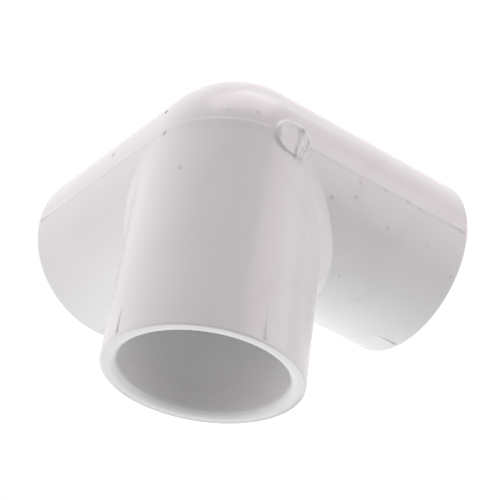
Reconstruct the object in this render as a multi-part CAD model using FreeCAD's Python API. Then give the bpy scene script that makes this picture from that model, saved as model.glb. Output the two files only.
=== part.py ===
import FreeCAD, Part
import math
import os

# Side outlet elbow: one white PVC moulding with three equal pipe sockets, each square to the other two.
# The three axes cross at the origin. One run socket points down along -Z, the other along +X, and the
# side outlet points along -Y. All sizes are in millimetres.

# Outside of the moulding
MOUTH_OD = 40.0            # outside diameter at each mouth
HEEL_OD = 39.1             # outside diameter at the crossing of the axes, and of the round heel
BALL_PROUD = 0.01          # the round heel, and the hollow in it, stand this much proud of the tubes they join
CENTRE_TO_END = 47.0       # from the crossing of the axes to each mouth
LIP_OUTER_ROUND = 0.9      # rounding of the lip's outer edge
LIP_INNER_ROUND = 1.75     # rounding of the lip's inner edge, which leads the pipe in
LIP_FLATS = 4              # narrow bands that make up each rounding

# Inside of the moulding
SOCKET_D = 33.46           # solvent-weld socket, straight at the mean of its slow taper, 33.66 to 33.27
SOCKET_DEPTH = 28.6        # from the mouth to the pipe stop
WATERWAY_D = 28.0          # the bore that joins the three sockets

# Webs that fill the corners between neighbouring sockets
WEB_REACH = 3.6            # how far a web runs out along each of its two sockets, past their mitre
WEB_RADIUS = 5.0           # radius of the web's hollow section
WEB_SINK = 0.6             # how far a web's edges run on into the sockets' walls
WEB_SHORT_OF_POLE = 5.0    # a web starts this far short of the mitre's pole, in degrees round the ellipse
WEB_PAST_CORNER = 60.0     # and ends this far past the corner between its two sockets, inside the third

# Gate: the raised round pad where the plastic was injected, with the stub of the trimmed gate across it
PAD_D = 7.8
PAD_RISE = 0.35            # above the heel's highest point
PAD_DEPTH = 2.0            # how far the pad reaches into the wall
PAD_EDGE = 0.15            # bevel of the pad's edge
STUB_LENGTH = 5.6
STUB_WIDTH = 1.2
STUB_RISE = 0.2            # above the pad
STUB_FROM_CENTRE = 2.3     # from the pad's centre towards the +X socket

# Parting line: the thin seam of flash where the two mould halves met, in the plane of the run sockets
SEAM_WIDTH = 0.22
SEAM_RISE = 0.06
SEAM_FROM_MOUTH = 1.5      # the seam stops this far from each mouth

# Short tapered ribs at each mouth, one at each quarter turn
RIB_COUNT = 4
RIB_LENGTH = 6.5
RIB_WIDTH = 1.0            # across the rib's foot, at the mouth
RIB_RISE = 0.22            # above the socket's wall, at the mouth
RIB_SINK = 0.4             # how far the rib's foot reaches into the wall
RIB_FROM_MOUTH = 1.1

ORIGIN = FreeCAD.Vector(0, 0, 0)
DOWN = FreeCAD.Vector(0, 0, -1)
RUN = FreeCAD.Vector(1, 0, 0)
OUTLET = FreeCAD.Vector(0, -1, 0)
SOCKETS = (DOWN, RUN, OUTLET)

heel_r = HEEL_OD / 2
mouth_r = MOUTH_OD / 2
waterway_r = WATERWAY_D / 2
stop = CENTRE_TO_END - SOCKET_DEPTH
overrun = 1.0              # how far a cutting shape runs on past a face


def along(axis):
    """The turn and move that take a shape made along +Z to the given axis."""
    return FreeCAD.Placement(ORIGIN, FreeCAD.Rotation(FreeCAD.Vector(0, 0, 1), axis))


def turned(outline):
    """The solid turned about Z from a closed outline of (radius, z) points."""
    points = [FreeCAD.Vector(r, 0, z) for r, z in outline]
    return Part.Face(Part.makePolygon(points + points[:1])).revolve(ORIGIN, FreeCAD.Vector(0, 0, 1), 360)


def quarter_round(middle, radius, first, last):
    """Points of a lip's rounding, from one angle to another in degrees, about its middle at (radius, z)."""
    steps = [math.radians(first + (last - first) * i / LIP_FLATS) for i in range(LIP_FLATS + 1)]
    return [(middle[0] + radius * math.cos(a), middle[1] + radius * math.sin(a)) for a in steps]


def outside_radius(z):
    """Radius of a socket's outside at a distance z from the crossing."""
    return heel_r + (mouth_r - heel_r) * z / CENTRE_TO_END


def socket_body(axis):
    """A socket's outside with no bore: a slow taper that widens to a rounded lip."""
    wall_end = CENTRE_TO_END - LIP_OUTER_ROUND
    middle = (outside_radius(wall_end) - LIP_OUTER_ROUND, wall_end)
    lip = quarter_round(middle, LIP_OUTER_ROUND, 0, 90)
    body = turned([(0, 0), (heel_r, 0)] + lip + [(0, CENTRE_TO_END)])
    body.Placement = along(axis)
    return body


def socket_bore(axis):
    """The socket down to its flat pipe stop, with a rounded way in."""
    wall_r = SOCKET_D / 2
    wall_end = CENTRE_TO_END - LIP_INNER_ROUND
    lip = quarter_round((wall_r + LIP_INNER_ROUND, wall_end), LIP_INNER_ROUND, 180, 90)
    past = CENTRE_TO_END + overrun
    bore = turned([(0, stop), (wall_r, stop)] + lip + [(wall_r + LIP_INNER_ROUND, past), (0, past)])
    bore.Placement = along(axis)
    return bore


def waterway(axis):
    """The bore from the crossing to just inside a socket."""
    return Part.makeCylinder(waterway_r, stop + overrun, ORIGIN, axis)


def web(a, b, across, extra=0.0):
    """The fill between sockets a and b: a hollow section carried unturned along their mitre, an ellipse."""
    r = heel_r + extra
    diagonal = (a + b) * math.sqrt(0.5)
    ellipse = Part.Ellipse(diagonal * (r * math.sqrt(2)), across * r, ORIGIN)
    start, end = math.radians(WEB_SHORT_OF_POLE - 90), math.radians(WEB_PAST_CORNER)
    path = Part.ArcOfEllipse(ellipse, start, end)
    corner = path.StartPoint
    half_turn = math.asin(WEB_REACH / math.sqrt(2) / WEB_RADIUS)
    middle_of_chord = corner + (a + b) * (WEB_REACH / 2)
    centre = middle_of_chord + diagonal * (WEB_RADIUS * math.cos(half_turn))
    side = (a - b) * math.sqrt(0.5)
    swing = half_turn + WEB_SINK / WEB_RADIUS

    def on_arc(angle):
        return centre - diagonal * (WEB_RADIUS * math.cos(angle)) + side * (WEB_RADIUS * math.sin(angle))

    hollow = Part.Arc(on_arc(swing), on_arc(0), on_arc(-swing)).toShape()
    inner = corner - (a + b) * WEB_SINK
    back = [Part.makeLine(on_arc(-swing), inner), Part.makeLine(inner, on_arc(swing))]
    section = Part.Wire([hollow] + back)
    sweep = Part.BRepOffsetAPI.MakePipeShell(Part.Wire([path.toShape()]))
    sweep.setTrihedronMode(ORIGIN, across)
    sweep.add(section)
    sweep.build()
    sweep.makeSolid()
    return sweep.shape()


def outside(sockets, extra=0.0):
    """The whole outside with no bores: round heel, three sockets and the three webs between them."""
    heel = Part.makeSphere(heel_r + extra + BALL_PROUD)
    webs = [
        web(RUN, OUTLET, DOWN, extra),
        web(OUTLET, DOWN, RUN, extra),
        web(DOWN, RUN, OUTLET, extra),
    ]
    return heel.multiFuse(sockets).multiFuse(webs)


def seam():
    """The seam of flash: a thin slice, in the plane of the run sockets, of a slightly fatter outside."""
    end = CENTRE_TO_END - SEAM_FROM_MOUTH
    first, last = heel_r + SEAM_RISE, outside_radius(end) + SEAM_RISE
    fatter = outside([Part.makeCone(first, last, end, ORIGIN, axis) for axis in SOCKETS], SEAM_RISE)
    reach = CENTRE_TO_END + overrun
    slab = Part.makeBox(2 * reach, SEAM_WIDTH, 2 * reach, FreeCAD.Vector(-reach, -SEAM_WIDTH / 2, -reach))
    return fatter.common(slab)


def mouth_ribs(axis):
    """The tapered ribs on one socket: each a low ridge that grows out of the wall towards the mouth."""
    end = CENTRE_TO_END - RIB_FROM_MOUTH
    wall = outside_radius(end)
    half = RIB_WIDTH / 2 * (RIB_RISE + RIB_SINK) / RIB_RISE
    corners = [(wall + RIB_RISE, 0), (wall - RIB_SINK, half), (wall - RIB_SINK, -half)]
    points = [FreeCAD.Vector(x, y, end) for x, y in corners]
    fall = FreeCAD.Vector(outside_radius(end - RIB_LENGTH) - wall - RIB_RISE, 0, -RIB_LENGTH)
    ridge = Part.Face(Part.makePolygon(points + points[:1])).extrude(fall * 1.1)
    ribs = []
    for i in range(RIB_COUNT):
        rib = ridge.copy()
        rib.rotate(ORIGIN, FreeCAD.Vector(0, 0, 1), 360 * i / RIB_COUNT)
        rib.Placement = along(axis).multiply(rib.Placement)
        ribs.append(rib)
    return ribs


def gate():
    """The gate pad on the heel, opposite the socket that points down, and the stub across it."""
    top = heel_r + PAD_RISE
    edge = PAD_EDGE
    pad_r = PAD_D / 2
    pad = turned([(0, top - PAD_DEPTH), (pad_r, top - PAD_DEPTH), (pad_r, top - edge), (pad_r - edge, top), (0, top)])
    low = FreeCAD.Vector(STUB_FROM_CENTRE - STUB_WIDTH / 2, -STUB_LENGTH / 2, top - edge)
    stub = Part.makeBox(STUB_WIDTH, STUB_LENGTH, edge + STUB_RISE, low)
    return [pad, stub]


def side_outlet_elbow():
    """The finished moulding: the outside with its seam, gate and ribs, less the bores."""
    ribs = [rib for axis in SOCKETS for rib in mouth_ribs(axis)]
    solid = outside([socket_body(axis) for axis in SOCKETS]).fuse(seam()).multiFuse(gate() + ribs)
    bores = [socket_bore(axis) for axis in SOCKETS] + [waterway(axis) for axis in SOCKETS]
    bores.append(Part.makeSphere(waterway_r + BALL_PROUD))
    return solid.cut(bores).removeSplitter()


os.makedirs("parts", exist_ok=True)
elbow = side_outlet_elbow()
elbow.exportStep("parts/side_outlet_elbow.step")
print("side_outlet_elbow: solids", len(elbow.Solids), "valid", elbow.isValid(), "cm3", round(elbow.Volume / 1000, 3))
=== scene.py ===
import bpy
import math
from mathutils import Matrix, Vector, noise


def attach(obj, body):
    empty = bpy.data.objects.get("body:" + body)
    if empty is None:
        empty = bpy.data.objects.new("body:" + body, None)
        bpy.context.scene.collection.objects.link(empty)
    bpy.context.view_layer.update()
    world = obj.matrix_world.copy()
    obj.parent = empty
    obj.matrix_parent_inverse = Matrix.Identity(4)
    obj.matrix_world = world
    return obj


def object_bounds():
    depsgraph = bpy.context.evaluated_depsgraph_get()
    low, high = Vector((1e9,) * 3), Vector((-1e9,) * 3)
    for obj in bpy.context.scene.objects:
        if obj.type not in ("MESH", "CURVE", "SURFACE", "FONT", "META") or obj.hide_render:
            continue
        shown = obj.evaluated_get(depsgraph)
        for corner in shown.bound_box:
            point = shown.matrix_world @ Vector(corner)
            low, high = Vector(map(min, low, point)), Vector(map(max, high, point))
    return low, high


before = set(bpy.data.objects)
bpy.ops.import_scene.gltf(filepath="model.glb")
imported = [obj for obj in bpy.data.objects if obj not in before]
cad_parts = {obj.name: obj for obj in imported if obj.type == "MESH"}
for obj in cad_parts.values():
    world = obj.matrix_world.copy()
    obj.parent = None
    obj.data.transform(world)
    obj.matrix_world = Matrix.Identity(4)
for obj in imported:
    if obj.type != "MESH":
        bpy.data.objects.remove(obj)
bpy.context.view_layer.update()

# A white PVC side outlet elbow on a pale floor, in a soft white light tent.
# Lengths are in metres, in the frame of the solid model: the axes of the three sockets cross at the origin,
# and the sockets point along -Z, +X and -Y. MM turns millimetres into metres.
MM = 0.001

# The camera of the photograph. The fitting is seen from above its heel, with the frame turned on its side.
CAMERA_AT = Vector((-140.1, -185.8, 232.7)) * MM
CAMERA_RIGHT = Vector((0.7951, 0.1263, 0.5932))
CAMERA_UP = Vector((-0.4038, 0.8401, 0.3623))
CAMERA_LENS = 114.46
SENSOR_WIDTH = 36.0

FLOOR_REACH = 1.2          # half the side of the floor
FLOOR_DROP = 0.05 * MM     # of the floor below the lowest point of the fitting

# Sizes of the solid that the added pieces follow, in millimetres
TUBE_R = 19.55             # outside of each socket where the axes cross
HEEL_R = 19.56             # the round heel, a hair proud of the sockets
MOUTH_R = 20.0
SOCKET_R = 16.73
CENTRE_TO_END = 47.0
LIP_INNER_ROUND = 1.75
WEB_REACH = 3.6
WEB_RADIUS = 5.0

CORNER_ANGLE = math.radians(62)    # edges that turn more than this look sharp


def linear(hex_colour):
    """An sRGB hex colour as linear red, green, blue and an alpha of 1."""
    parts = [int(hex_colour[i:i + 2], 16) / 255 for i in (1, 3, 5)]
    return [c / 12.92 if c <= 0.04045 else ((c + 0.055) / 1.055) ** 2.4 for c in parts] + [1.0]


def add(tree, kind, settings=None, **inputs):
    """Adds a node with its settings. Inputs are sockets, by name or place (i0), given values or outputs."""
    made = tree.nodes.new(kind)
    for name, value in (settings or {}).items():
        setattr(made, name, value)
    for key, value in inputs.items():
        by_place = key[0] == "i" and key[1:].isdigit()
        socket = made.inputs[int(key[1:]) if by_place else key.replace("_", " ")]
        if isinstance(value, bpy.types.NodeSocket):
            tree.links.new(value, socket)
        else:
            socket.default_value = value
    return made


def in_scene(name, data):
    """An object of a mesh, a lamp or a camera, put in the scene."""
    made = bpy.data.objects.new(name, data)
    bpy.context.scene.collection.objects.link(made)
    return made


def blank_material(name):
    """A material with no nodes yet, and its tree."""
    material = bpy.data.materials.new(name)
    material.use_nodes = True
    material.node_tree.nodes.clear()
    return material, material.node_tree


def grown(name, tree, sizes, start=None):
    """A plain mesh object of what a tree of geometry nodes makes from a start mesh, with its sizes set."""
    piece = in_scene(name, start or bpy.data.meshes.new(name))
    modifier = piece.modifiers.new("shape", "NODES")
    modifier.node_group = tree
    for socket in tree.interface.items_tree:
        if socket.in_out == "INPUT" and socket.name in sizes:
            modifier[socket.identifier] = sizes[socket.name]
    piece.update_tag()
    shape = piece.evaluated_get(bpy.context.evaluated_depsgraph_get())
    mesh = bpy.data.meshes.new_from_object(shape)
    piece.modifiers.clear()
    piece.data = mesh
    mesh.name = name
    painted = [material for material in mesh.materials if material]
    mesh.materials.clear()
    mesh.materials.append(painted[0])
    mesh.polygons.foreach_set("material_index", [0] * len(mesh.polygons))
    return piece


def new_shape_tree(name, sizes):
    """An empty tree of geometry nodes with an input for each size. Returns the tree and those inputs."""
    tree = bpy.data.node_groups.new(name, "GeometryNodeTree")
    for way in ("INPUT", "OUTPUT"):
        tree.interface.new_socket("Geometry", in_out=way, socket_type="NodeSocketGeometry")
    kinds = {int: "NodeSocketInt", float: "NodeSocketFloat", type(None): "NodeSocketMaterial"}
    for label, value in sizes.items():
        socket = tree.interface.new_socket(label, in_out="INPUT", socket_type=kinds[type(value)])
        if value is not None:
            socket.default_value = value
    return tree, add(tree, "NodeGroupInput").outputs


def make_camera():
    """Sets the photograph's camera, and gives the direction from the fitting towards it."""
    data = bpy.data.cameras.new("camera")
    data.lens, data.sensor_width = CAMERA_LENS, SENSOR_WIDTH
    data.clip_start, data.clip_end = 0.01, 10.0
    camera = in_scene("camera", data)
    back = CAMERA_RIGHT.cross(CAMERA_UP).normalized()
    right = CAMERA_UP.cross(back).normalized()
    turn = Matrix((right, back.cross(right), back)).transposed()
    camera.matrix_world = Matrix.Translation(CAMERA_AT) @ turn.to_4x4()
    bpy.context.scene.camera = camera
    return back


towards_camera = make_camera()


def background_rays(tree):
    """1 for the rays that show the background: from the camera, off a gloss or through something clear."""
    path = add(tree, "ShaderNodeLightPath").outputs
    either = path["Is Camera Ray"]
    for kind in ("Is Glossy Ray", "Is Transmission Ray"):
        either = add(tree, "ShaderNodeMath", {"operation": "MAXIMUM"}, i0=either, i1=path[kind]).outputs[0]
    return either


# The tent stands square to the photograph's camera. Each wall has its brightness and its tint. The light
# fades evenly from wall to wall.
TENT_WALLS = {
    "left": (1.53, "#FFFBFE"), "right": (0.1, "#FFFAFF"),
    "bottom": (1.55, "#FDFFFE"), "top": (0.8, "#FFF4F9"),
    "back": (0.2, "#FFFFFF"), "open_side": (0.0, "#FFFFFF"),
}


def wall_light(wall):
    """A wall's tint at its brightness."""
    brightness, tint = TENT_WALLS[wall]
    return [c * brightness for c in linear(tint)[:3]] + [1.0]


def make_tent():
    """The light tent round the fitting: what lights it, while the eye and the gloss see plain white."""
    world = bpy.data.worlds.new("light_tent")
    world.use_nodes = True
    tree = world.node_tree
    tree.nodes.clear()
    way = add(tree, "ShaderNodeTexCoord").outputs["Generated"]
    axes = [(CAMERA_RIGHT, "left", "right"), (CAMERA_UP, "bottom", "top"),
            (towards_camera, "back", "open_side")]
    lights = []
    for axis, low, high in axes:
        reach = add(tree, "ShaderNodeVectorMath", {"operation": "DOT_PRODUCT"}, i0=way,
                    i1=axis).outputs["Value"]
        side = add(tree, "ShaderNodeMath", {"operation": "GREATER_THAN"}, i0=reach, i1=0.0)
        share = add(tree, "ShaderNodeMath", {"operation": "MULTIPLY"}, i0=reach, i1=reach)
        wall = add(tree, "ShaderNodeMix", {"data_type": "RGBA", "clamp_factor": False}, i0=side.outputs[0],
                   i6=wall_light(low), i7=wall_light(high))
        lit = add(tree, "ShaderNodeVectorMath", {"operation": "SCALE"}, i0=wall.outputs[2],
                  Scale=share.outputs[0])
        lights.append(lit.outputs[0])
    light = lights[0]
    for more in lights[1:]:
        light = add(tree, "ShaderNodeVectorMath", {"operation": "ADD"}, i0=light, i1=more).outputs[0]
    tent = add(tree, "ShaderNodeBackground", Color=light, Strength=1.0)
    plain = add(tree, "ShaderNodeBackground", Color=linear("#FFFFFF"), Strength=1.0)
    both = add(tree, "ShaderNodeMixShader", i0=background_rays(tree), i1=tent.outputs[0],
               i2=plain.outputs[0])
    add(tree, "ShaderNodeOutputWorld", Surface=both.outputs[0])
    bpy.context.scene.world = world


# Three softboxes let into the tent. Each has its place, as degrees from the camera's side and degrees round
# it from the right, its width round and height across that place in metres, its watts and its tint. The rim
# one stands behind the fitting and lightens its upper outline.
SOFTBOX_DISTANCE = 0.9
SOFTBOXES = {
    "right_softbox": (85.0, 2.0, 1.9, 0.764, 5.3, "#FFF7FC"),
    "top_softbox": (105.0, 85.0, 0.8, 0.6, 2.5, "#FFF7FC"),
    "rim_softbox": (135.0, 108.0, 1.6, 0.5, 2.0, "#FFFFFF"),
}


def make_softbox(name, from_camera, round_from_right, width, height, watts, tint):
    """A soft rectangular lamp that faces the fitting."""
    lamp = bpy.data.lights.new(name, "AREA")
    lamp.shape, lamp.size, lamp.size_y = "RECTANGLE", width, height
    lamp.energy, lamp.color = watts, linear(tint)[:3]
    polar, turn = math.radians(from_camera), math.radians(round_from_right)
    sideways = CAMERA_RIGHT * math.cos(turn) + CAMERA_UP * math.sin(turn)
    way = (towards_camera * math.cos(polar) + sideways * math.sin(polar)).normalized()
    across = towards_camera.cross(way).normalized()
    face = Matrix((across, way.cross(across), way)).transposed().to_4x4()
    softbox = in_scene(name, lamp)
    softbox.matrix_world = Matrix.Translation(way * SOFTBOX_DISTANCE) @ face
    softbox.visible_camera = False


def make_floor():
    """A pale floor just under the lower socket's mouth, white to the eye but for the shadow on it."""
    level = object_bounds()[0].z - FLOOR_DROP
    corners = [(x * FLOOR_REACH, y * FLOOR_REACH, level) for x, y in ((-1, -1), (1, -1), (1, 1), (-1, 1))]
    mesh = bpy.data.meshes.new("floor")
    mesh.from_pydata(corners, [], [(0, 1, 2, 3)])
    floor = in_scene("floor", mesh)
    paper, tree = blank_material("white_paper_floor")
    plain = add(tree, "ShaderNodeBsdfDiffuse", Color=linear("#E8E8E8"))
    shadowed = add(tree, "ShaderNodeBsdfDiffuse", Color=linear("#A0A0A0"))
    glow = add(tree, "ShaderNodeEmission", Color=linear("#FFFFFF"), Strength=0.82)
    seen = add(tree, "ShaderNodeAddShader", i0=shadowed.outputs[0], i1=glow.outputs[0])
    both = add(tree, "ShaderNodeMixShader", i0=background_rays(tree), i1=plain.outputs[0],
               i2=seen.outputs[0])
    add(tree, "ShaderNodeOutputMaterial", Surface=both.outputs[0])
    mesh.materials.append(paper)
    # The light from below comes from the tent's bottom wall, so the floor throws none onto the fitting.
    floor.visible_diffuse = False


def pvc_colour(tree, place):
    """The white of the resin with its flow marks, and dirt and painted shade where a piece is marked with
    them.
    """
    # The resin's white drifts a little over 14 mm, from where the melt cooled first to where it cooled last.
    cloud = add(tree, "ShaderNodeTexNoise", Vector=place, Scale=1 / (14 * MM), Detail=3.0).outputs[0]
    white = add(tree, "ShaderNodeMix", {"data_type": "RGBA"}, i0=cloud, i6=linear("#ECEBEB"),
                i7=linear("#F0EFEF"))
    # Soft greyer bands some 2 mm wide and 20 mm apart, where two fronts of the melt met. They barely show.
    front = add(tree, "ShaderNodeTexNoise", Vector=place, Scale=1 / (40 * MM), Detail=0.0, Distortion=0.8)
    off_front = add(tree, "ShaderNodeMath", {"operation": "SUBTRACT"}, i0=front.outputs[0], i1=0.47)
    gap = add(tree, "ShaderNodeMath", {"operation": "ABSOLUTE"}, i0=off_front.outputs[0])
    mark = add(tree, "ShaderNodeMapRange", {"interpolation_type": "SMOOTHSTEP"}, Value=gap.outputs[0],
               From_Max=0.06, To_Min=0.25, To_Max=0.0)
    marked = add(tree, "ShaderNodeMix", {"data_type": "RGBA"}, i0=mark.outputs[0], i6=white.outputs[2],
                 i7=linear("#E6E4E4"))
    # Ground-in dirt and painted shade, as the piece's own mesh says. The one dark tint stands in for both.
    grime = add(tree, "ShaderNodeAttribute", {"attribute_name": "grime"}).outputs["Fac"]
    soiled_and_shaded = add(tree, "ShaderNodeMix", {"data_type": "RGBA"}, i0=grime, i6=marked.outputs[2],
                 i7=linear("#6E5B54"))
    return soiled_and_shaded.outputs[2]


def pvc_roughness(tree, place):
    """Handling dulls the gloss in patches 9 mm across, mottled at 1.5 mm like scuffing seen from afar."""
    handled = add(tree, "ShaderNodeTexNoise", Vector=place, Scale=1 / (9 * MM), Detail=2.0, Roughness=0.4)
    dull = add(tree, "ShaderNodeMapRange", {"interpolation_type": "SMOOTHSTEP"}, Value=handled.outputs[0],
               From_Min=0.44, From_Max=0.64, To_Min=0.2, To_Max=0.25)
    mottle = add(tree, "ShaderNodeTexNoise", Vector=place, Scale=1 / (1.5 * MM), Detail=3.0)
    scuffed = add(tree, "ShaderNodeMapRange", Value=mottle.outputs[0], From_Min=0.3, From_Max=0.7,
                  To_Min=0.92, To_Max=1.06)
    rough = add(tree, "ShaderNodeMath", {"operation": "MULTIPLY"}, i0=dull.outputs[0], i1=scuffed.outputs[0])
    return rough.outputs[0]


def make_pvc():
    """Rigid white PVC, injection moulded: a soft gloss, duller where handled, over a faint orange peel."""
    pvc, tree = blank_material("moulded_white_pvc")
    place = add(tree, "ShaderNodeTexCoord").outputs["Object"]
    # Orange peel 0.9 mm across and about a micrometre deep.
    peel = add(tree, "ShaderNodeTexNoise", Vector=place, Scale=1 / (0.9 * MM), Detail=2.0)
    bump = add(tree, "ShaderNodeBump", Strength=0.05, Distance=0.02 * MM, Height=peel.outputs[0])
    shader = add(tree, "ShaderNodeBsdfPrincipled", Base_Color=pvc_colour(tree, place),
                 Roughness=pvc_roughness(tree, place), IOR=1.53, Normal=bump.outputs[0])
    add(tree, "ShaderNodeOutputMaterial", Surface=shader.outputs[0])
    return pvc


def on_each_socket(tree, geometry):
    """Turns a shape made along +Z onto the three sockets: down, along +X and along -Y."""
    which = add(tree, "GeometryNodeInputIndex").outputs[0]
    turns = [(math.pi, 0.0, 0.0), (0.0, math.pi / 2, 0.0), (math.pi / 2, 0.0, 0.0)]
    turn = add(tree, "GeometryNodeIndexSwitch", {"data_type": "VECTOR"}, Index=which)
    turn.index_switch_items.new()
    for place, angles in enumerate(turns):
        turn.inputs[place + 1].default_value = angles
    rotation = add(tree, "FunctionNodeEulerToRotation", Euler=turn.outputs[0])
    points = add(tree, "GeometryNodePoints", Count=3)
    copies = add(tree, "GeometryNodeInstanceOnPoints", Points=points.outputs[0], Instance=geometry,
                 Rotation=rotation.outputs[0])
    return copies.outputs[0]


def finish_tree(tree, geometry, material):
    """Ends a tree: faces smooth but for sharp corners, real copies, and one material."""
    smooth = add(tree, "GeometryNodeSetShadeSmooth", Geometry=geometry)
    angle = add(tree, "GeometryNodeInputMeshEdgeAngle").outputs["Unsigned Angle"]
    blunt = add(tree, "FunctionNodeCompare", {"operation": "LESS_THAN"}, A=angle, B=CORNER_ANGLE)
    corners = add(tree, "GeometryNodeSetShadeSmooth", {"domain": "EDGE"}, Geometry=smooth.outputs[0],
                  i2=blunt.outputs[0])
    real = add(tree, "GeometryNodeRealizeInstances", Geometry=corners.outputs[0])
    painted = add(tree, "GeometryNodeSetMaterial", Geometry=real.outputs[0], Material=material)
    add(tree, "NodeGroupOutput", Geometry=painted.outputs[0])


def section_of(tree, corners):
    """A closed four-cornered section from pairs of sizes."""
    section = add(tree, "GeometryNodeCurvePrimitiveQuadrilateral", {"mode": "POINTS"})
    for place, (x, y) in enumerate(corners):
        corner = add(tree, "ShaderNodeCombineXYZ", X=x, Y=y)
        tree.links.new(corner.outputs[0], section.inputs["Point %d" % (place + 1)])
    return section.outputs[0]


def outside_radius(along):
    """Radius of a socket's outside, in millimetres, at a distance along it from the crossing."""
    return TUBE_R + (MOUTH_R - TUBE_R) * along / CENTRE_TO_END


LIP_OUTER_ROUND = 0.5      # a little sharper than the solid's
LIP_WALL_SHORT = 0.0086    # how much smaller than MOUTH_R the wall is where the solid's lip begins
LIP_PROUD = 0.02           # how far the turned lips stand out of the solid's own
LIP_DEPTH = 2.6            # how far they run down the wall
LIP_SINK = 0.09            # how far their feet go into it


def lip_grime(tree, given, place):
    """A thin line of painted shade on the side outlet's face, near the rim, along its lower side."""
    across = add(tree, "ShaderNodeVectorMath", {"operation": "MULTIPLY"}, i0=place,
                 i1=(1.0, 0.0, 1.0)).outputs[0]
    radius = add(tree, "ShaderNodeVectorMath", {"operation": "LENGTH"}, i0=across).outputs["Value"]
    part = add(tree, "ShaderNodeSeparateXYZ", Vector=place).outputs
    rim = add(tree, "ShaderNodeMapRange", {"interpolation_type": "SMOOTHSTEP"}, Value=radius,
              From_Min=given["Shade From Radius"], From_Max=given["Shade To Radius"], To_Max=given["Painted Shade"])
    downhill = add(tree, "ShaderNodeMath", {"operation": "SUBTRACT"}, i0=part["X"], i1=part["Z"])
    under = add(tree, "ShaderNodeMapRange", {"interpolation_type": "SMOOTHSTEP"}, Value=downhill.outputs[0],
                From_Min=given["Shade From Low"], From_Max=given["Shade To Low"])
    at_outlet = add(tree, "ShaderNodeMapRange", Value=part["Y"], From_Min=given["Outlet Unshaded"],
                    From_Max=given["Outlet Shaded"])
    low_rim = add(tree, "ShaderNodeMath", {"operation": "MULTIPLY"}, i0=rim.outputs[0], i1=under.outputs[0])
    return add(tree, "ShaderNodeMath", {"operation": "MULTIPLY"}, i0=low_rim.outputs[0],
               i1=at_outlet.outputs[0]).outputs[0]


def make_lips(pvc):
    """The rounded lips of the three mouths, each turned from one section, with the mould's faint ring."""
    wide = MOUTH_R - LIP_WALL_SHORT + LIP_PROUD
    sizes = {
        "Mouth Radius": wide * MM, "Face": (CENTRE_TO_END + LIP_PROUD) * MM,
        "Foot": (CENTRE_TO_END + LIP_PROUD - LIP_DEPTH) * MM, "Outer Foot In": -LIP_SINK * MM,
        "Inner Edge In": (SOCKET_R - LIP_PROUD - wide) * MM,
        "Inner Foot In": (SOCKET_R - LIP_PROUD - wide + LIP_SINK) * MM,
        "Outer Round": LIP_OUTER_ROUND * MM, "Inner Round": LIP_INNER_ROUND * MM,
        "Ring Outer Foot In": -0.94 * MM, "Ring Outer Top In": -1.02 * MM, "Ring Inner Top In": -1.08 * MM,
        "Ring Inner Foot In": -1.16 * MM, "Ring Foot": (CENTRE_TO_END - 0.02) * MM,
        "Ring Top": (CENTRE_TO_END + LIP_PROUD + 0.035) * MM, "Steps Round": 192, "Steps in Rounding": 14,
        "Shade From Radius": 18.9 * MM, "Shade To Radius": 19.2 * MM, "Shade From Low": 5 * MM,
        "Shade To Low": 12 * MM, "Outlet Unshaded": -46.5 * MM, "Outlet Shaded": -46.8 * MM, "Painted Shade": 0.3,
        "Material": None,
    }
    tree, given = new_shape_tree("turned_lips", sizes)
    section = section_of(tree, ((given["Outer Foot In"], given["Foot"]), (0.0, given["Face"]),
                                (given["Inner Edge In"], given["Face"]),
                                (given["Inner Foot In"], given["Foot"])))
    which = add(tree, "GeometryNodeInputIndex").outputs[0]
    rounds = add(tree, "GeometryNodeIndexSwitch", {"data_type": "FLOAT"}, Index=which)
    rounds.index_switch_items.new()
    rounds.index_switch_items.new()
    tree.links.new(given["Outer Round"], rounds.inputs[2])
    tree.links.new(given["Inner Round"], rounds.inputs[3])
    rounded = add(tree, "GeometryNodeFilletCurve", {"mode": "POLY"}, Curve=section,
                  Count=given["Steps in Rounding"], Radius=rounds.outputs[0])
    ring = section_of(tree, ((given["Ring Outer Foot In"], given["Ring Foot"]),
                             (given["Ring Outer Top In"], given["Ring Top"]),
                             (given["Ring Inner Top In"], given["Ring Top"]),
                             (given["Ring Inner Foot In"], given["Ring Foot"])))
    sections = add(tree, "GeometryNodeJoinGeometry")
    tree.links.new(rounded.outputs[0], sections.inputs[0])
    tree.links.new(ring, sections.inputs[0])
    path = add(tree, "GeometryNodeCurvePrimitiveCircle", {"mode": "RADIUS"}, Resolution=given["Steps Round"],
               Radius=given["Mouth Radius"])
    turned = add(tree, "GeometryNodeCurveToMesh", Curve=path.outputs[0], i1=sections.outputs[0])
    upright = add(tree, "GeometryNodeTransform", Geometry=turned.outputs[0], Rotation=(math.pi, 0.0, 0.0))
    placed = add(tree, "GeometryNodeRealizeInstances", Geometry=on_each_socket(tree, upright.outputs[0]))
    place = add(tree, "GeometryNodeInputPosition").outputs[0]
    # Painted shade: a thin dark line along the lower outer edge of the side outlet's rim.
    with_painted_shade = add(tree, "GeometryNodeStoreNamedAttribute", {"data_type": "FLOAT", "domain": "POINT"},
                Geometry=placed.outputs[0], Name="grime", Value=lip_grime(tree, given, place))
    finish_tree(tree, with_painted_shade.outputs[0], given["Material"])
    sizes["Material"] = pvc
    return grown("mouth_lips", tree, sizes)


def mesh_of(name, points, faces, edges=(), **facts):
    """A mesh from points in millimetres, with facts about each point kept on it, such as how much dirt and
    painted shade it carries.
    """
    mesh = bpy.data.meshes.new(name)
    mesh.from_pydata([Vector(point) * MM for point in points], edges, faces)
    for fact, values in facts.items():
        mesh.attributes.new(fact, "FLOAT", "POINT").data.foreach_set("value", values)
    return mesh


def grid_faces(rows, columns):
    """The faces between points that are laid out row by row."""
    return [(r * columns + c, r * columns + c + 1, (r + 1) * columns + c + 1, (r + 1) * columns + c)
            for r in range(rows - 1) for c in range(columns - 1)]


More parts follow.
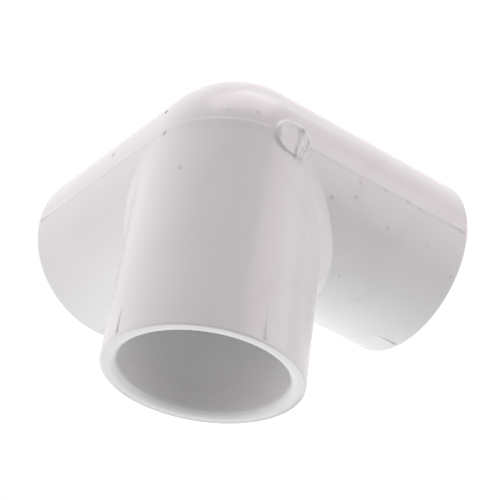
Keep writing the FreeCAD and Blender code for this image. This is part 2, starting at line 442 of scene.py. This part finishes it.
def grid_border(rows, columns):
    """The points round the outside of such a grid, in order."""
    last_row = (rows - 1) * columns
    border = list(range(columns)) + [r * columns + columns - 1 for r in range(1, rows)]
    border += [last_row + c for c in range(columns - 2, -1, -1)]
    return border + [r * columns for r in range(rows - 2, 0, -1)]


def share_of(low, high, value):
    """How far a value has come from low to high, from 0 to 1."""
    return min(1.0, max(0.0, (value - low) / (high - low)))


def eased(low, high, value):
    """0 below low and 1 above high, with a soft start and end. It falls where high is the smaller."""
    share = share_of(low, high, value)
    return share * share * (3 - 2 * share)


def span(ends, value):
    """1 within a range and 0 outside it. Ends say where it starts, is full, begins to fade and is over."""
    start, full, fading, end = ends
    return eased(start, full, value) * eased(end, fading, value)


RIB_LENGTH = 6.9           # of a mouth rib, from near the lip
RIB_HALF_WIDTH = 0.62      # at the lip
RIB_TAIL = 0.35            # its width at the other end, as a share of that
RIB_RISE = 0.3             # at the lip
RIB_END = 46.0             # where it ends, from the crossing
RIB_CAP = 0.22             # how far its end slopes down beyond that
RIB_PROUD = 0.004          # of its flanks' edges above the wall
RIB_EDGE_SINK = 0.06       # of its outermost edges below that
RIB_CAP_SINK = 0.08        # of the end of the slope below the wall
RIB_INNER_SHARE = 0.985    # its underside's distance from the socket's axis, as a share of its top's
RIBS_ROUND = 4


def one_rib():
    """A tapered rib on the +X side of a socket along +Z: a low ridge with one steep flank, darkened with
    painted shade.
    """
    rows, columns = 28, 17
    points, grime = [], []
    for row in range(rows + 1):
        share = row / rows
        along = RIB_END - RIB_LENGTH * (1 - share)
        width = RIB_HALF_WIDTH * (RIB_TAIL + (1 - RIB_TAIL) * share)
        rise = RIB_RISE * share ** 1.3
        for column in range(columns):
            side = 2 * column / (columns - 1) - 1
            slope = 1 - abs(side) ** 1.25 if side > 0 else 1 - (abs(side) / 0.8) ** 2
            foot = RIB_EDGE_SINK if abs(side) == 1 else 0.0
            radius = outside_radius(along) + rise * max(0.0, slope) - foot + RIB_PROUD
            angle = side * width / radius
            points.append((radius * math.cos(angle), radius * math.sin(angle), along))
            # Painted shade along the feet of the flanks, most of it on the steep one.
            beside = max(0.0, 1 - abs(abs(side) - 0.86) / 0.2)
            grime.append(share ** 1.5 * beside * (0.75 if side < 0 else 0.1))
    end = RIB_END + RIB_CAP
    for x, y, _ in points[rows * columns:]:
        short = (outside_radius(end) - RIB_CAP_SINK) / math.hypot(x, y)
        points.append((x * short, y * short, end))
        grime.append(0.0)
    faces = grid_faces(rows + 2, columns)
    around = grid_border(rows + 2, columns)
    depth = len(points)
    points += [(x * RIB_INNER_SHARE, y * RIB_INNER_SHARE, z) for x, y, z in points]
    grime += [0.0] * depth
    faces += [tuple(v + depth for v in reversed(face)) for face in faces]
    faces += [(a, a + depth, b + depth, b) for a, b in zip(around, around[1:] + around[:1])]
    return mesh_of("mouth_ribs", points, faces, grime=grime)


def make_ribs(pvc):
    """The short ribs at the mouths: one rib repeated at each quarter turn of each socket."""
    sizes = {"Ribs Round": RIBS_ROUND, "Turn Between": 2 * math.pi / RIBS_ROUND, "Material": None}
    tree, given = new_shape_tree("ribs_round_each_mouth", sizes)
    which = add(tree, "GeometryNodeInputIndex").outputs[0]
    turn = add(tree, "ShaderNodeMath", {"operation": "MULTIPLY"}, i0=which, i1=given["Turn Between"])
    turned = add(tree, "ShaderNodeCombineXYZ", Z=turn.outputs[0])
    rotation = add(tree, "FunctionNodeEulerToRotation", Euler=turned.outputs[0])
    points = add(tree, "GeometryNodePoints", Count=given["Ribs Round"])
    copies = add(tree, "GeometryNodeInstanceOnPoints", Points=points.outputs[0], Instance=given["Geometry"],
                 Rotation=rotation.outputs[0])
    finish_tree(tree, on_each_socket(tree, copies.outputs[0]), given["Material"])
    sizes["Material"] = pvc
    return grown("mouth_ribs", tree, sizes, one_rib())


SEAM_SWELL = 0.083         # how far the swell along the parting line stands out
SEAM_EDGE_SINK = 0.03      # how far its edges go into the wall
SEAM_REACH = 0.95          # how far it runs to each side of the line
HEEL_REACH = 1.85          # how much further it runs down from the line over the heel
HEEL_REACH_FROM = 5.0      # all of that, from this height above the run socket's axis
SEAM_START = 45.2          # where each run of the line begins, from the crossing
FLASH_LEAST = 0.04         # how sharp the flash is along the sockets, of 1
FLASH_MORE = 0.9           # how much sharper it gets over the range that follows, from the crossing
FLASH_FROM, FLASH_FULL = 40.5, 43.0
GATE_FLASH = 0.35          # how sharp it is beside the gate
GATE_FLASH_END = 13.0


def flash_sharpness(place):
    """How sharp the flash is at a place in millimetres, from 0 to 1: most at mouths, some at the gate."""
    x, _, z = place
    if 0 < x < GATE_FLASH_END and z > 0:
        return GATE_FLASH
    return FLASH_LEAST + FLASH_MORE * share_of(FLASH_FROM, FLASH_FULL, max(abs(x), abs(z)))


def flash_reach(place):
    """How far its swell runs down: far over the heel, where the outlet's wall goes on straight."""
    x, _, z = place
    return SEAM_REACH + HEEL_REACH * share_of(0.0, HEEL_REACH_FROM, z) if x < 1 else SEAM_REACH


def seam_paths():
    """The parting line's two runs, in the plane of the run sockets: over the heel and through the corner."""
    ends = [SEAM_START - i for i in range(46)]
    heel = [math.radians(176 - 4 * i) for i in range(21)]
    outer = [(-outside_radius(z), 0, -z) for z in ends]
    outer += [(HEEL_R * math.cos(a), 0, HEEL_R * math.sin(a)) for a in heel]
    outer += [(x, 0, outside_radius(x)) for x in reversed(ends)]
    corner = TUBE_R + WEB_REACH / 2 + math.sqrt(WEB_RADIUS ** 2 - WEB_REACH ** 2 / 2) * math.sqrt(0.5)
    swing = math.asin(WEB_REACH / math.sqrt(2) / WEB_RADIUS)
    straight = [x for x in ends if x > corner - WEB_RADIUS * math.sin(math.pi / 4 - swing)]
    inner = [(x, 0, -outside_radius(x)) for x in straight]
    steps = 12
    for step in range(steps + 1):
        angle = math.radians(135) - swing + 2 * swing * step / steps
        inner.append((corner + WEB_RADIUS * math.cos(angle), 0, -corner + WEB_RADIUS * math.sin(angle)))
    inner += [(outside_radius(z), 0, -z) for z in reversed(straight)]
    points = outer + inner
    edges = [(i, i + 1) for i in range(len(points) - 1) if i != len(outer) - 1]
    return mesh_of("seam_flash", points, [], edges, sharp=[flash_sharpness(point) for point in points],
                   reach=[flash_reach(point) * MM for point in points])


def flash_height(tree, given, up, sideways, reach, sharp):
    """How far each corner of the flash's section stands out: swell and rippled crest above, root below."""
    place = add(tree, "GeometryNodeInputPosition").outputs[0]
    away = add(tree, "ShaderNodeMath", {"operation": "ABSOLUTE"}, i0=sideways).outputs[0]
    swell = add(tree, "ShaderNodeMapRange", {"interpolation_type": "SMOOTHSTEP"}, Value=away, From_Min=0.0,
                From_Max=reach, To_Min=given["Swell"], To_Max=0.0)
    crest = add(tree, "ShaderNodeMapRange", {"interpolation_type": "SMOOTHSTEP"}, Value=away, From_Min=0.0,
                From_Max=given["Crest Half Width"], To_Min=given["Crest"], To_Max=0.0)
    ripple = add(tree, "ShaderNodeTexNoise", {"noise_dimensions": "4D"}, Vector=place, W=given["Seed"],
                 Scale=given["Ripples per Metre"], Detail=2.0)
    uneven = add(tree, "ShaderNodeMapRange", Value=ripple.outputs[0], From_Min=0.3, From_Max=0.7, To_Min=0.7,
                 To_Max=1.3)
    strength = add(tree, "ShaderNodeMath", {"operation": "MULTIPLY"}, i0=sharp, i1=uneven.outputs[0])
    top = add(tree, "ShaderNodeMath", {"operation": "MULTIPLY_ADD"}, i0=crest.outputs[0],
              i1=strength.outputs[0], i2=swell.outputs[0])
    # The root is nearly square, so that its sides stay inside the wall.
    down = add(tree, "ShaderNodeMath", {"operation": "ABSOLUTE"}, i0=up)
    boxy = add(tree, "ShaderNodeMath", {"operation": "POWER"}, i0=down.outputs[0], i1=0.3)
    root = add(tree, "ShaderNodeMath", {"operation": "MULTIPLY"}, i0=boxy.outputs[0], i1=given["Root"])
    under = add(tree, "ShaderNodeMath", {"operation": "MULTIPLY"}, i0=root.outputs[0], i1=-1.0)
    above = add(tree, "FunctionNodeCompare", {"operation": "GREATER_THAN"}, A=up, B=0.0001)
    height = add(tree, "GeometryNodeSwitch", {"input_type": "FLOAT"}, Switch=above.outputs[0],
                 i1=under.outputs[0], i2=top.outputs[0])
    return add(tree, "ShaderNodeMath", {"operation": "SUBTRACT"}, i0=height.outputs[0],
               i1=given["Edge Sink"]).outputs[0]


def make_seam(pvc):
    """The flash along the parting line: a low swell that rises to a sharp line at the mouths and gate."""
    corners = 24
    sizes = {
        "Step": 0.3 * MM, "Swell": (SEAM_SWELL + SEAM_EDGE_SINK) * MM, "Crest": 0.09 * MM,
        "Crest Half Width": 0.3 * MM, "Upper Reach": SEAM_REACH * MM, "Edge Sink": SEAM_EDGE_SINK * MM,
        "Root": 0.4 * MM, "Patches per Metre": 1 / (5 * MM), "Ripples per Metre": 1 / (0.9 * MM),
        "Corners": corners, "Turn per Corner": 2 * math.pi / corners, "Section Start": 0.01 * MM,
        "Unshaded To": -0.05 * MM, "Shaded From": -0.15 * MM, "Painted Shade": 0.1, "Seed": 4.0, "Material": None,
    }
    tree, given = new_shape_tree("flash_along_the_seam", sizes)
    path = add(tree, "GeometryNodeMeshToCurve", Mesh=given["Geometry"])
    even = add(tree, "GeometryNodeResampleCurve", {"mode": "LENGTH"}, Curve=path.outputs[0],
               Length=given["Step"])
    tangent = add(tree, "GeometryNodeInputTangent").outputs[0]
    out = add(tree, "ShaderNodeVectorMath", {"operation": "CROSS_PRODUCT"}, i0=tangent, i1=(0.0, 1.0, 0.0))
    place = add(tree, "GeometryNodeInputPosition").outputs[0]
    patches = add(tree, "ShaderNodeTexNoise", {"noise_dimensions": "4D"}, Vector=place, W=given["Seed"],
                  Scale=given["Patches per Metre"], Detail=1.0)
    patchy = add(tree, "ShaderNodeMapRange", {"interpolation_type": "SMOOTHSTEP"}, Value=patches.outputs[0],
                 From_Min=0.4, From_Max=0.6, To_Min=0.5)
    sharp_given = add(tree, "GeometryNodeInputNamedAttribute", {"data_type": "FLOAT"}, Name="sharp")
    sharp = add(tree, "ShaderNodeMath", {"operation": "MULTIPLY"}, i0=sharp_given.outputs[0],
                i1=patchy.outputs[0])
    with_out = add(tree, "GeometryNodeStoreNamedAttribute", {"data_type": "FLOAT_VECTOR", "domain": "POINT"},
                   Geometry=even.outputs[0], Name="out", Value=out.outputs[0])
    with_both = add(tree, "GeometryNodeStoreNamedAttribute", {"data_type": "FLOAT", "domain": "POINT"},
                    Geometry=with_out.outputs[0], Name="sharp", Value=sharp.outputs[0])
    # The section starts as a tiny ring whose corners know their turn, and each is then moved to its place.
    section = add(tree, "GeometryNodeCurvePrimitiveCircle", {"mode": "RADIUS"}, Resolution=given["Corners"],
                  Radius=given["Section Start"])
    corner = add(tree, "GeometryNodeInputIndex").outputs[0]
    turn = add(tree, "ShaderNodeMath", {"operation": "MULTIPLY"}, i0=corner, i1=given["Turn per Corner"])
    marked = add(tree, "GeometryNodeStoreNamedAttribute", {"data_type": "FLOAT", "domain": "POINT"},
                 Geometry=section.outputs[0], Name="turn", Value=turn.outputs[0])
    capped = add(tree, "FunctionNodeInputBool", {"boolean": True}).outputs[0]
    swept = add(tree, "GeometryNodeCurveToMesh", Curve=with_both.outputs[0], Profile_Curve=marked.outputs[0],
                Fill_Caps=capped)
    stored = {"out": "FLOAT_VECTOR", "sharp": "FLOAT", "turn": "FLOAT", "reach": "FLOAT"}
    out_here, sharp_here, turn_here, reach_here = (
        add(tree, "GeometryNodeInputNamedAttribute", {"data_type": kind}, Name=fact).outputs[0]
        for fact, kind in stored.items())
    up = add(tree, "ShaderNodeMath", {"operation": "SINE"}, i0=turn_here).outputs[0]
    across = add(tree, "ShaderNodeMath", {"operation": "COSINE"}, i0=turn_here).outputs[0]
    # The third power crowds the corners towards the crest.
    nearer = add(tree, "ShaderNodeMath", {"operation": "POWER"}, i0=across, i1=3.0)
    lower = add(tree, "FunctionNodeCompare", {"operation": "LESS_THAN"}, A=across, B=0.0)
    reach = add(tree, "GeometryNodeSwitch", {"input_type": "FLOAT"}, Switch=lower.outputs[0],
                i1=given["Upper Reach"], i2=reach_here).outputs[0]
    sideways = add(tree, "ShaderNodeMath", {"operation": "MULTIPLY"}, i0=nearer.outputs[0],
                   i1=reach).outputs[0]
    raised = add(tree, "ShaderNodeVectorMath", {"operation": "SCALE"}, i0=out_here,
                 Scale=flash_height(tree, given, up, sideways, reach, sharp_here))
    beside = add(tree, "ShaderNodeCombineXYZ", Y=sideways)
    shift = add(tree, "ShaderNodeVectorMath", {"operation": "ADD"}, i0=raised.outputs[0],
                i1=beside.outputs[0])
    shaped = add(tree, "GeometryNodeSetPosition", Geometry=swept.outputs[0], Offset=shift.outputs[0])
    # Painted shade on the swell's lower flank, strongest where the flash is sharp.
    lower_flank = add(tree, "ShaderNodeMapRange", Value=sideways, From_Min=given["Unshaded To"],
                      From_Max=given["Shaded From"], To_Max=given["Painted Shade"])
    grime = add(tree, "ShaderNodeMath", {"operation": "MULTIPLY"}, i0=lower_flank.outputs[0], i1=sharp_here)
    with_painted_shade = add(tree, "GeometryNodeStoreNamedAttribute", {"data_type": "FLOAT", "domain": "POINT"},
                Geometry=shaped.outputs[0], Name="grime", Value=grime.outputs[0])
    finish_tree(tree, with_painted_shade.outputs[0], given["Material"])
    sizes["Material"] = pvc
    return grown("seam_flash", tree, sizes, seam_paths())


def ridge(x, y, path, half_width):
    """1 on a path of (x, y) points, falling softly to 0 at half_width to each side of it."""
    nearest = half_width
    for (ax, ay), (bx, by) in zip(path, path[1:]):
        along = ((x - ax) * (bx - ax) + (y - ay) * (by - ay)) / ((bx - ax) ** 2 + (by - ay) ** 2)
        along = min(1.0, max(0.0, along))
        nearest = min(nearest, math.hypot(x - ax - along * (bx - ax), y - ay - along * (by - ay)))
    return (1 - (nearest / half_width) ** 2) ** 2


def blob(x, y, middle_x, middle_y, reach_x, reach_y):
    """1 in the middle of an oval and 0 at its edge and beyond."""
    away = math.hypot((x - middle_x) / reach_x, (y - middle_y) / reach_y)
    return (1 - min(1.0, away) ** 2) ** 2


# The gate scar, in millimetres on a plane across the heel's pole: x towards +X, y away from the outlet
SCAR_STEP = 0.12
SCAR_LOW, SCAR_HIGH = (-4.7, -5.6), (5.3, 4.9)
SCAR_BOTTOM = 17.2         # of the block that has the scar on top, inside the wall
SCAR_SINK = 0.05           # of that block's top below the wall beside the scar
SCAR_TOP = 19.93           # of the disc
STUB_TOP = 20.13
DISC_R = 3.88
DISC_FOOT_R = 3.98         # of the line of painted shade at the disc's foot
DISC_FOOT_SHADE = 0.1
RIM_CREST = 3.25           # radius of the rolled rim's crest
RIM_RISE = 0.26            # of the crest above the disc
RIM_SLOPE = 0.45           # of the fall outside it

# Ranges as span takes them. The first four are bearings round the disc, in degrees from x towards y.
ROLLED = (12, 48, 190, 222)        # the rim is rolled up here
FLATTENED = (60, 110, 140, 185)    # the disc's edge stands a little further in
FAR_SIDE = (30, 60, 95, 160)       # the rim's fall starts a little further in
NEAR_SIDE = (170, 200, 285, 310)   # the disc's foot is wider
STUB_X, STUB_Y = (0.7, 1.75, 2.93, 3.6), (-3.2, -2.85, 2.83, 3.6)
TAIL_X, TAIL_Y = (0.7, 1.25, 3.1, 4.1), (-5.1, -3.7, -1.9, -1.0)

TORN_EDGE = [(3.4, 2.75), (3.75, 1.9), (3.95, 0.9), (3.9, -0.3), (3.8, -1.5)]
STUB_CREST = [(2.5, 2.3), (2.3, 1.2), (1.85, -0.6), (1.4, -2.2), (1.25, -3.1)]
DISC_FOOT = [(DISC_FOOT_R * math.cos(turn), DISC_FOOT_R * math.sin(turn))
             for turn in map(math.radians, range(186, 288, 6))]
LUMPS = [                  # x, y, reach in x, reach in y, height
    (2.1, -3.3, 0.6, 0.55, 0.16), (2.9, -2.9, 0.5, 0.5, 0.16), (1.5, -3.9, 0.5, 0.5, 0.12),
    (2.6, -4.1, 0.5, 0.45, 0.1), (3.4, -2.2, 0.5, 0.45, 0.2), (3.9, -1.45, 0.42, 0.4, 0.22),
    (3.1, -2.1, 0.35, 0.35, 0.1), (2.5, -1.3, 0.5, 0.6, 0.06),
]
# Patches of dirt, with painted shade in the scar's pits and beside the walls of its stub and disc
DIRT_AND_SHADE_PATCHES = [                 # x, y, reach in x, reach in y, strength
    (1.9, 2.4, 0.75, 0.95, 0.5), (2.4, 2.8, 0.8, 0.8, 0.14), (3.85, 0.55, 0.5, 0.6, 0.5),
    (4.0, -0.2, 0.4, 0.55, 0.26), (4.2, 1.7, 0.4, 1.4, 0.1), (-3.85, 0.4, 0.5, 1.5, 0.12),
    (1.0, -2.6, 0.5, 1.6, 0.14), (2.6, -2.1, 1.6, 0.6, 0.12), (0.4, -4.2, 1.1, 0.5, 0.16),
    (3.3, -1.0, 0.6, 1.3, 0.2),
]


def outside_height(x, y):
    """Height of the solid's outside over a place on the plane across the heel's pole."""
    heights = [math.sqrt(HEEL_R ** 2 - x * x - y * y)]
    if y < 0:
        heights.append(math.sqrt(outside_radius(-y) ** 2 - x * x))
    if x > 0:
        heights.append(math.sqrt(outside_radius(x) ** 2 - y * y))
    return max(heights)


def disc_height(wall, edge, away, bearing):
    """Height of the disc with its edge and foot, over a wall of the given height."""
    near = span(NEAR_SIDE, bearing)
    foot = 0.2 + 0.12 * near
    share = (1 - foot) * eased(edge + 0.2, edge, away) + foot * eased(edge + 0.55 + 0.5 * near, edge, away)
    return wall + (SCAR_TOP - wall) * share


def rim_height(edge, away, bearing):
    """Height of the rolled rim over the disc: a rise to its crest, and a softly rounded fall outside it."""
    past_crest = away - RIM_CREST + 0.15 * span(FLATTENED, bearing) + 0.25 * span(FAR_SIDE, bearing)
    fall = RIM_SLOPE * (past_crest + math.sqrt(past_crest ** 2 + 0.02)) / 2
    return (RIM_RISE * eased(1.5, RIM_CREST, away) - fall) * eased(edge + 0.4, edge, away)


def scar_height(x, y):
    """Height of the gate scar's surface: the disc with its rolled rim, and the torn stub with its lumps."""
    away, bearing = math.hypot(x, y), math.degrees(math.atan2(y, x)) % 360
    rolled = span(ROLLED, bearing)
    edge = DISC_R + 0.3 * rolled * eased(85, 60, bearing) - 0.2 * span(FLATTENED, bearing)
    disc = disc_height(outside_height(x, y) - SCAR_SINK, edge, away, bearing)
    stub = span(STUB_X, x) * span(STUB_Y, y)
    tail = span(TAIL_X, x) * span(TAIL_Y, y)
    height = disc + (STUB_TOP - disc) * max(stub, tail * 0.85)
    height += rim_height(edge, away, bearing) * rolled
    height += 0.2 * ridge(x, y, TORN_EDGE, 0.62)
    height += 0.1 * ridge(x, y, STUB_CREST, 0.6)
    for middle_x, middle_y, reach_x, reach_y, rise in LUMPS:
        height += rise * blob(x, y, middle_x, middle_y, reach_x, reach_y)
    torn = noise.noise(Vector((x * 1.4, y * 1.4, 3.0))) + 0.4 * noise.noise(Vector((x * 3.4, y * 3.4, 7.0)))
    height += 0.05 * max(tail, ridge(x, y, TORN_EDGE, 0.8), stub * 0.4) * max(-0.3, torn)
    return height


def gate_scar():
    """The scar as one closed block with its torn top, let into the heel."""
    columns, rows = (round((high - low) / SCAR_STEP) + 1 for low, high in zip(SCAR_LOW, SCAR_HIGH))
    points, grime = [], []
    for row in range(rows):
        for column in range(columns):
            x, y = SCAR_LOW[0] + column * SCAR_STEP, SCAR_LOW[1] + row * SCAR_STEP
            points.append((x, y, scar_height(x, y)))
            patch_darkening = sum(strength * blob(x, y, *place) for *place, strength in DIRT_AND_SHADE_PATCHES)
            # The patches, and a line of painted shade along the disc's foot.
            grime.append(patch_darkening + DISC_FOOT_SHADE * ridge(x, y, DISC_FOOT, 0.3))
    faces = grid_faces(rows, columns)
    around = grid_border(rows, columns)
    below = len(points)
    points += [(points[v][0], points[v][1], SCAR_BOTTOM) for v in around]
    grime += [0.0] * len(around)
    under = list(range(below, below + len(around)))
    sides = zip(around, around[1:] + around[:1], under, under[1:] + under[:1])
    faces += [(b, a, c, d) for a, b, c, d in sides]
    faces.append(tuple(reversed(under)))
    return mesh_of("gate_scar", points, faces, grime=grime)


def make_gate_scar(pvc):
    """The place where the plastic went in, as the trimmed gate left it."""
    piece = in_scene("gate_scar", gate_scar())
    piece.data.shade_smooth()
    piece.data.materials.append(pvc)
    return piece


# Specks of ground-in dirt: place in millimetres, length, and how dark and how red, from 0 to 1
SPECKS = [
    (-18.43, 6.67, -0.23, 1.0, 0.9, 0.25), (-19.37, -0.56, 2.58, 1.2, 0.14, 0.6),
    (-17.77, -10.92, 8.35, 1.5, 0.09, 0.4), (-12.71, 2.76, 14.6, 0.8, 0.08, 0.2),
    (-7.65, 3.18, 17.71, 0.9, 0.12, 0.3), (-15.04, -20.78, 12.77, 0.7, 0.06, 0.5),
    (-19.1, 4.87, -18.8, 1.2, 0.4, 0.2), (17.96, -1.67, 19.64, 1.0, 0.12, 0.9),
    (17.6, -5.24, 19.0, 1.0, 0.11, 0.6), (12.32, -7.54, 18.16, 1.1, 0.15, 0.5),
    (27.07, -7.73, 18.22, 1.1, 0.08, 1.0), (37.41, -7.25, 18.53, 0.85, 0.13, 0.7),
    (22.96, -17.59, 8.97, 1.1, 0.07, 1.0), (30.25, -18.63, 6.78, 0.85, 0.13, 0.3),
    (45.62, -10.17, 17.19, 0.9, 0.13, 0.2), (30.2, -0.2, 19.85, 0.9, 0.1, 0.8),
    (33.5, -0.3, 19.85, 0.8, 0.1, 0.7), (24.3, -0.4, 19.8, 0.7, 0.08, 0.6),
]
LOWER_SOCKET_FROM = -5.0   # below this height a speck lies on the lower socket
ON_SEAM = 1.0              # a speck nearer than this to the parting line sits on its swell


def wall_under(x, y, z):
    """Where the axis lies that a place on the outside goes round, and the outside's radius there."""
    if x > 0:
        return Vector((x, 0, 0)), outside_radius(x)
    if z < LOWER_SOCKET_FROM:
        return Vector((0, 0, z)), outside_radius(-z)
    if y < 0:
        return Vector((0, y, 0)), outside_radius(-y)
    return Vector((0, 0, 0)), HEEL_R


def speck_places():
    """The specks' places on the outside, each with its way out of the surface, its size and its colour."""
    points, ways = [], []
    for x, y, z, *_ in SPECKS:
        on_axis, radius = wall_under(x, y, z)
        way = (Vector((x, y, z)) - on_axis).normalized()
        points.append(on_axis + way * (radius + (SEAM_SWELL if abs(y) < ON_SEAM else 0.0)))
        ways += list(way)
    sizes, darks, reds = zip(*(speck[3:] for speck in SPECKS))
    mesh = mesh_of("dirt_specks", points, [], size=sizes, dark=darks, red=reds)
    mesh.attributes.new("out", "FLOAT_VECTOR", "POINT").data.foreach_set("vector", ways)
    return mesh


def make_dirt():
    """Specks of ground-in workshop dirt and rust dust, wiped thin: matt, from a faint shade to brown."""
    dirt, tree = blank_material("workshop_dirt")
    dark = add(tree, "ShaderNodeAttribute", {"attribute_name": "dark"}).outputs["Fac"]
    red = add(tree, "ShaderNodeAttribute", {"attribute_name": "red"}).outputs["Fac"]
    thick = add(tree, "ShaderNodeMix", {"data_type": "RGBA"}, i0=red, i6=linear("#4F453F"),
                i7=linear("#8E4E3C"))
    colour = add(tree, "ShaderNodeMix", {"data_type": "RGBA"}, i0=dark, i6=linear("#EDECEC"),
                 i7=thick.outputs[2])
    shader = add(tree, "ShaderNodeBsdfPrincipled", Base_Color=colour.outputs[2], Roughness=0.6)
    add(tree, "ShaderNodeOutputMaterial", Surface=shader.outputs[0])
    return dirt


def make_specks(dirt):
    """Flat uneven flakes, one at each place."""
    sizes = {
        "Flatness": 0.12, "Least Width": 0.55, "Most Width": 0.95, "Bumps per Metre": 1 / (0.3 * MM),
        "Bump In": -0.03 * MM, "Bump Out": 0.015 * MM, "Seed": 3, "Material": None,
    }
    tree, given = new_shape_tree("specks_on_the_wall", sizes)
    flake = add(tree, "GeometryNodeMeshIcoSphere", Radius=0.5, Subdivisions=3)
    size = add(tree, "GeometryNodeInputNamedAttribute", {"data_type": "FLOAT"}, Name="size").outputs[0]
    out = add(tree, "GeometryNodeInputNamedAttribute", {"data_type": "FLOAT_VECTOR"}, Name="out").outputs[0]
    facing = add(tree, "FunctionNodeAlignRotationToVector", {"axis": "Z"}, Vector=out)
    spin = add(tree, "FunctionNodeRandomValue", {"data_type": "FLOAT"}, i2=0.0, i3=2 * math.pi,
               Seed=given["Seed"])
    stretch = add(tree, "FunctionNodeRandomValue", {"data_type": "FLOAT"}, i2=given["Least Width"],
                  i3=given["Most Width"], Seed=given["Seed"])
    turn = add(tree, "ShaderNodeCombineXYZ", Z=spin.outputs[1])
    turned = add(tree, "FunctionNodeRotateRotation", {"rotation_space": "LOCAL"}, Rotation=facing.outputs[0],
                 Rotate_By=turn.outputs[0])
    narrow = add(tree, "ShaderNodeCombineXYZ", X=1.0, Y=stretch.outputs[1], Z=given["Flatness"])
    in_metres = add(tree, "ShaderNodeMath", {"operation": "MULTIPLY"}, i0=size, i1=MM)
    scale = add(tree, "ShaderNodeVectorMath", {"operation": "SCALE"}, i0=narrow.outputs[0],
                Scale=in_metres.outputs[0])
    copies = add(tree, "GeometryNodeInstanceOnPoints", Points=given["Geometry"], Instance=flake.outputs[0],
                 Rotation=turned.outputs[0], Scale=scale.outputs[0])
    real = add(tree, "GeometryNodeRealizeInstances", Geometry=copies.outputs[0])
    place = add(tree, "GeometryNodeInputPosition").outputs[0]
    rough = add(tree, "ShaderNodeTexNoise", Vector=place, Scale=given["Bumps per Metre"], Detail=1.0)
    lumps = add(tree, "ShaderNodeMapRange", Value=rough.outputs[0], From_Min=0.3, From_Max=0.7,
                To_Min=given["Bump In"], To_Max=given["Bump Out"])
    facing_out = add(tree, "GeometryNodeInputNormal").outputs[0]
    push = add(tree, "ShaderNodeVectorMath", {"operation": "SCALE"}, i0=facing_out, Scale=lumps.outputs[0])
    uneven = add(tree, "GeometryNodeSetPosition", Geometry=real.outputs[0], Offset=push.outputs[0])
    finish_tree(tree, uneven.outputs[0], given["Material"])
    sizes["Material"] = dirt
    return grown("dirt_specks", tree, sizes, speck_places())


make_tent()
for softbox, facts in SOFTBOXES.items():
    make_softbox(softbox, *facts)
pvc = make_pvc()
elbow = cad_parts["side_outlet_elbow"]
elbow.material_slots[0].material = pvc
for piece in (make_lips(pvc), make_ribs(pvc), make_seam(pvc), make_gate_scar(pvc), make_specks(make_dirt())):
    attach(piece, "root")
make_floor()

scene = bpy.context.scene
scene.view_settings.view_transform = "Standard"
